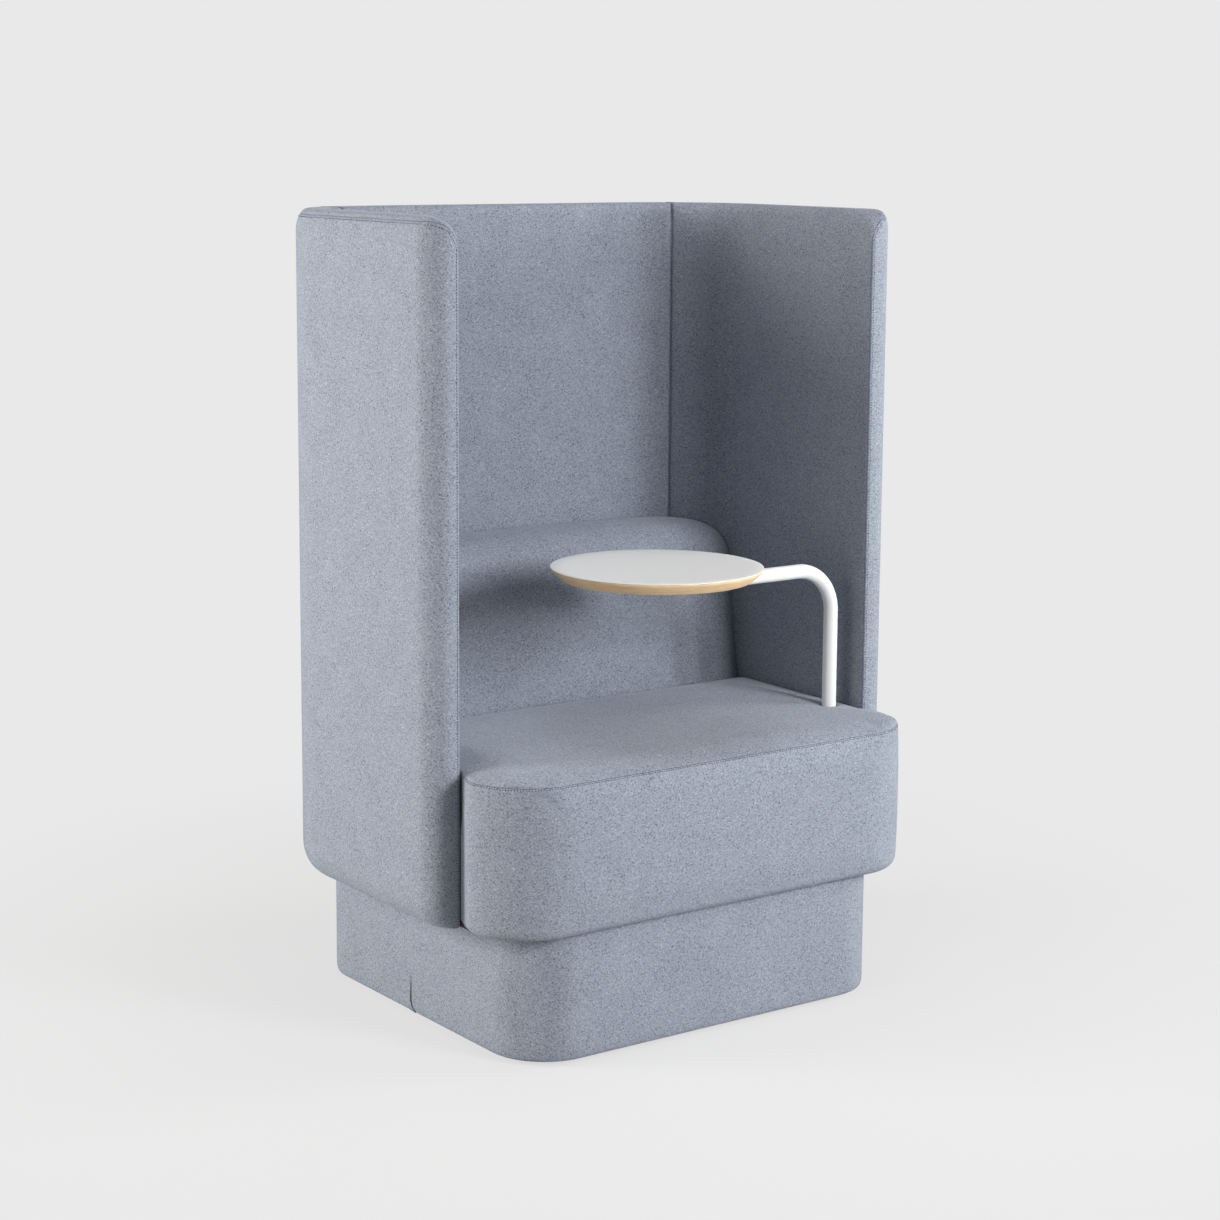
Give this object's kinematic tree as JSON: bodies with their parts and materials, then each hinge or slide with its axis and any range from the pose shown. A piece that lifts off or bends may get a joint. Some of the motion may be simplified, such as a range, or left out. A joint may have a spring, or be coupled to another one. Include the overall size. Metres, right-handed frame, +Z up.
{
  "type": "acoustic high back lounge chair",
  "caption": "Upholstered lounge chair with a U-shaped sound-absorbing high shell, a deep seat, a lumbar cushion and a round table on a swivelling tube arm.",
  "frame": {"origin": "on the floor, under the middle of the chair's outline", "axes": "+Z up, the sitter faces -Y, +X is the side of the table post"},
  "size_m": [0.954, 0.714, 1.35],
  "materials": {
    "upholstery": "blue-grey melange wool felt",
    "lining": "dark dust-cover lining over board",
    "plywood": "raw birch plywood",
    "timber": "planed softwood",
    "bare_wood": "clear lacquered plywood edge",
    "laminate": "matt white laminate",
    "white_paint": "white powder coat",
    "steel": "zinc plated",
    "plastic": "moulded black nylon",
    "webbing": "woven elastic strap"
  },
  "bodies": {
    "chair": {"glide_front_left": "plastic", "glide_front_right": "plastic", "glide_rear_left": "plastic", "glide_rear_right": "plastic", "base_bottom_board": "plywood", "base_top_board": "plywood", "base_rail_left": "timber", "base_rail_right": "timber", "base_rail_front": "timber", "base_rail_rear": "timber", "base_cover": "upholstery", "base_bolt_1": "steel", "base_bolt_2": "steel", "base_bolt_3": "steel", "base_bolt_4": "steel", "shell_outer_cover": "upholstery", "shell_back_pad": "upholstery", "shell_side_pad_left": "upholstery", "shell_side_pad_right": "upholstery", "shell_core_left": "plywood", "shell_core_back": "plywood", "shell_core_right": "plywood", "shell_batten_left": "timber", "shell_batten_right": "timber", "shell_spacer_left": "timber", "shell_spacer_right": "timber", "shell_spacer_back": "timber", "shell_bolt_left_1": "steel", "shell_bolt_left_2": "steel", "shell_bolt_right_1": "steel", "shell_bolt_right_2": "steel", "seat_bottom_board": "lining", "seat_rail_front": "plywood", "seat_rail_left": "plywood", "seat_rail_right": "plywood", "seat_rail_middle": "timber", "seat_rail_rear": "timber", "backrest_shelf": "plywood", "seat_webbing_1": "webbing", "seat_webbing_2": "webbing", "seat_webbing_3": "webbing", "seat_cushion": "upholstery", "backrest_board": "plywood", "backrest_bracket": "steel", "backrest_cushion": "upholstery", "arm_socket": "steel", "socket_screw_1": "steel", "socket_screw_2": "steel", "upper_bush": "plastic", "lower_bush": "plastic"},
    "table_arm": {"arm_tube": "white_paint", "post_foot_cap": "plastic", "arm_end_cap": "plastic", "table_plate": "white_paint", "table_screw_1": "steel", "table_screw_2": "steel", "table_screw_3": "steel", "table_screw_4": "steel", "table_board": "bare_wood", "table_laminate": "laminate"}
  },
  "joints": [
    {"name": "table_swivel", "type": "hinge", "parent": "chair", "child": "table_arm", "pos_m": [0.369, -0.174, 0.4], "axis": [0, 0, 1], "range_deg": [-25, 120]}
  ]
}
